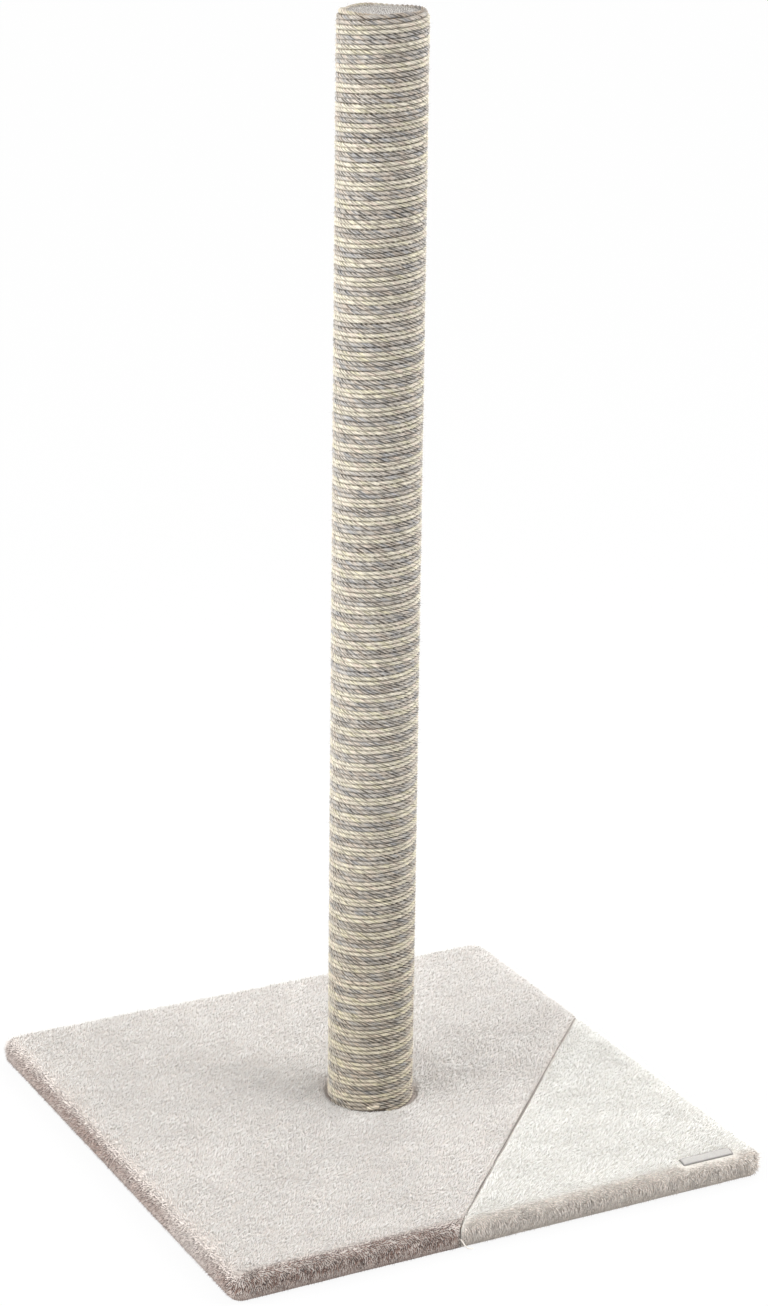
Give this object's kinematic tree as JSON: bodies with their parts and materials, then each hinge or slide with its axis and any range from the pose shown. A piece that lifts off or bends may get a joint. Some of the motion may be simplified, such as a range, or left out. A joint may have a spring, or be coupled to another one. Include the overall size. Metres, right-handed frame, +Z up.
{
  "type": "cat scratching post",
  "caption": "Tall upright post wound with two-colour rope, bolted to a square board covered in plush with a contrasting sewn corner; it stands on the floor for a cat to scratch.",
  "frame": {"origin": "on the floor, under the middle of the post and of the square base", "axes": "+Z up along the post; -Y is the front, where the label is; +X is to the right of someone facing the front"},
  "size_m": [0.6, 0.6, 1.165],
  "materials": {
    "beige_plush": "short deep plush",
    "cream_plush": "short deep plush",
    "seam_thread": "sewn edge",
    "label": "woven tape, blank",
    "chipboard": "raw chipboard",
    "plug_wood": "sawn softwood",
    "cardboard_tube": "spiral-wound card",
    "zinc_steel": "zinc plated",
    "staple_wire": "galvanised wire",
    "cap_plush": "short plush",
    "rope_mixed": "twisted sisal",
    "grey_rope": "twisted sisal, dyed",
    "cream_rope": "twisted sisal"
  },
  "bodies": {
    "root": {"cover_beige": "beige_plush", "hem_left": "beige_plush", "hem_back": "beige_plush", "hem_right_beige": "beige_plush", "hem_front_beige": "beige_plush", "cover_cream": "cream_plush", "hem_right_cream": "cream_plush", "hem_front_cream": "cream_plush", "sewn_seam": "seam_thread", "label_tape": "label", "base_board": "chipboard", "bottom_plug": "plug_wood", "top_plug": "plug_wood", "post_tube": "cardboard_tube", "base_bolt": "zinc_steel", "base_washer": "zinc_steel", "threaded_insert": "zinc_steel", "plug_nail_1": "zinc_steel", "plug_nail_2": "zinc_steel", "plug_nail_3": "zinc_steel", "plug_nail_4": "zinc_steel", "plug_nail_5": "zinc_steel", "plug_nail_6": "zinc_steel", "staple_01": "staple_wire", "staple_02": "staple_wire", "staple_03": "staple_wire", "staple_04": "staple_wire", "staple_05": "staple_wire", "staple_06": "staple_wire", "staple_07": "staple_wire", "staple_08": "staple_wire", "staple_09": "staple_wire", "staple_10": "staple_wire", "staple_11": "staple_wire", "staple_12": "staple_wire", "staple_13": "staple_wire", "staple_14": "staple_wire", "staple_15": "staple_wire", "staple_16": "staple_wire", "staple_17": "staple_wire", "staple_18": "staple_wire", "staple_19": "staple_wire", "staple_20": "staple_wire", "staple_21": "staple_wire", "staple_22": "staple_wire", "staple_23": "staple_wire", "staple_24": "staple_wire", "top_cap": "cap_plush", "rope_layer": "rope_mixed", "rope_grey_1_foot": "grey_rope", "rope_grey_1_head": "grey_rope", "rope_grey_2_foot": "grey_rope", "rope_grey_2_head": "grey_rope", "rope_cream_1_foot": "cream_rope", "rope_cream_1_head": "cream_rope", "rope_cream_2_foot": "cream_rope", "rope_cream_2_head": "cream_rope"}
  },
  "joints": []
}
